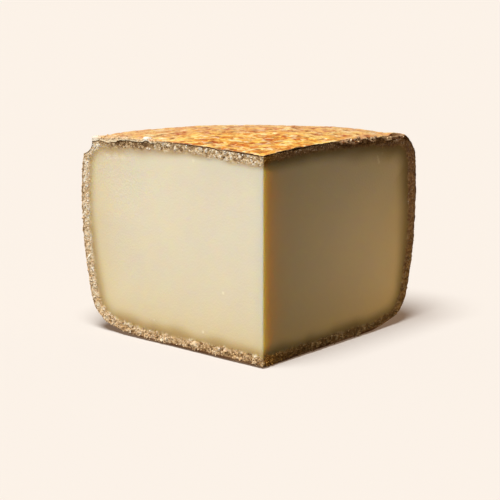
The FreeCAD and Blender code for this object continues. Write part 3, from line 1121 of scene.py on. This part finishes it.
# Pale edge rows are a painted highlight under the left ledge; pale crumbs are their own colour.
edge = add(tree, "Mix", {"Factor": pale_share, 6: edge, 7: "#F4E0BC"}, **of_colours)
base = add(tree, "Mix", {"Factor": crust_share, 6: grey, 7: orange}, **of_colours)
base = add(tree, "Mix", {"Factor": cut_share, 6: base, 7: edge}, **of_colours)
base = add(tree, "Mix", {"Factor": bloom, 6: base, 7: "#F0E8DA"}, **of_colours)
grit = add(tree, "TexNoise", {
    "Vector": place, "Scale": per_mm(0.9), "Detail": 4.0, "Roughness": 0.6})
bump = add(tree, "Bump", {"Height": grit, "Strength": 0.6, "Distance": 0.4 * MM})
shader = add(tree, "BsdfPrincipled", {
    "Base Color": base, "Roughness": 0.8, "IOR": 1.45, "Specular IOR Level": 0.3, "Normal": bump})
add(tree, "OutputMaterial", {"Surface": shader})
for piece in (edge_grit, crust_crumbs):
    piece.data.materials.append(rind.data.materials[0])
print("nodes of the rind:", len(tree.nodes))

# %% [markdown]
# ## Riding the frame
# The cheese is one rigid thing, so every piece rides on its one body. Together they stand in for the packed
# solid.

# %% Riding the frame
slots = {paste: "paste", rind: "rind", grains: "rind", edge_grit: "rind", crust_crumbs: "crust"}
for piece, slot in slots.items():
    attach(piece, "root")
    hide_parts("cheese_wedge")
print("pieces that ride on root:", len(slots))

# %% [markdown]
# ## Floor
# The floor is one warm off-white sheet of matt paper, so wide that no edge of it shows. Matt paper has no
# shine, and here it glows very faintly besides, which does what the walls of a bright studio do: it keeps the
# shadows warm and open. A large light for that would leave a shadow of its own.

# %% Floor
floor_reach = 8.0            # metres, each way
floor_across = np.linspace(-floor_reach, floor_reach, 5)
floor_x, floor_y = np.meshgrid(floor_across, floor_across, indexing="ij")
floor_points = np.stack([floor_x, floor_y, 0 * floor_x], -1) / MM
points, faces, _ = grid(floor_points, np.array([0.0, 0.0, -1.0]))
floor = make_piece("floor", points, faces, {})
tree = new_finish("matt_paper", floor)
shader = add(tree, "BsdfPrincipled", {
    "Base Color": "#E5E1DA", "Roughness": 1.0, "Specular IOR Level": 0.0,
    "Emission Color": "#FFD3B3", "Emission Strength": 0.172})
add(tree, "OutputMaterial", {"Surface": shader})
floor.visible_diffuse = False
floor.visible_glossy = False

# %% [markdown]
# ## Light
# A product picture has large soft lights. A wide, high one from the left shapes the crust, and one from the
# left front makes the left cut bright and leaves the right one in shade, where a weak warm reflector keeps it
# from going black. These belong to the cheese alone. The floor has its own high one, which lays a short soft
# shadow and leaves the rest even. Suns with a wide angle stand in for softboxes, because they light the near
# and the far side alike.

# %% Suns
def new_sun(name, strength, code, azimuth, elevation, width):
    """A far light: azimuth is where it stands, clockwise from +Y seen from above, width its angle across."""
    data = bpy.data.lights.new(name, "SUN")
    data.energy = strength
    data.color = colour(code)[:3]
    data.angle = math.radians(width)
    light = bpy.data.objects.new(name, data)
    light.rotation_euler = (math.radians(90 - elevation), 0, math.pi - math.radians(azimuth))
    bpy.context.scene.collection.objects.link(light)
    return light


cheese_only = bpy.data.collections.new("lit_by_the_cheese_lights")
floor_only = bpy.data.collections.new("lit_by_the_floor_light")
for piece in slots:
    cheese_only.objects.link(piece)
paste.visible_diffuse = False
floor_only.objects.link(floor)
overhead = new_sun("overhead_softbox", 3.65, "#FFFFFF", -95.0, 62.0, 45.0)
key = new_sun("left_softbox", 2.07, "#FFFDF8", -140.0, 35.0, 30.0)
floor_light = new_sun("floor_softbox", 3.30, "#FBFDFF", -140.0, 74.0, 30.0)
print("suns:", [light.name for light in (overhead, key, floor_light)])

# %% Reflector and air
reflector_place = np.array([222.0, -8.0, 12.0])     # millimetres: off the right corner, just above the floor
reflector_data = bpy.data.lights.new("warm_reflector", "AREA")
reflector_data.shape = "RECTANGLE"
reflector_data.size = 100.0 * MM
reflector_data.size_y = 20.0 * MM
reflector_data.energy = 0.077
reflector_data.color = colour("#FFD38B")[:3]
reflector = bpy.data.objects.new("warm_reflector", reflector_data)
reflector.location = reflector_place * MM
reflector.rotation_euler = (math.radians(90), 0, math.radians(75))
scene = bpy.context.scene
scene.collection.objects.link(reflector)
for light in (overhead, key, reflector):
    light.light_linking.receiver_collection = cheese_only
floor_light.light_linking.receiver_collection = floor_only

scene.view_settings.view_transform = "Standard"
world = bpy.data.worlds.new("studio_air")
scene.world = world
world.use_nodes = True
world.node_tree.nodes.clear()
background = add(world.node_tree, "Background", {"Color": "#FFE6C4", "Strength": 0.05})
add(world.node_tree, "OutputWorld", {"Surface": background})
print("light on the cheese:", [light.name for light in (overhead, key, reflector)])

# %% [markdown]
# ## Camera
# The eye looks a little down on the front edge from some way off. A long lens a metre and a half away keeps
# the upright edges nearly parallel, as food pictures do. A wider lens from nearer would make the front edge
# loom.

# %% Camera
lens = 216.0
sensor = 36.0
aim_side = -6.9             # millimetres: the place it looks at, beside the wheel's axis
aim_height = 64.85
distance = 1566.2           # from there to the lens
pitch = math.radians(14.47)
yaw = math.radians(-4.41)
camera_data = bpy.data.cameras.new("camera")
camera_data.lens = lens
camera_data.sensor_width = sensor
camera = bpy.data.objects.new("camera", camera_data)
camera.rotation_euler = (math.pi / 2 - pitch, 0, yaw)
forward = np.array([-math.sin(yaw) * math.cos(pitch), math.cos(yaw) * math.cos(pitch), -math.sin(pitch)])
camera.location = (np.array([aim_side, axis_y, aim_height]) - forward * distance) * MM
scene.collection.objects.link(camera)
scene.camera = camera
print("camera, metres:", [round(part, 3) for part in camera.location])
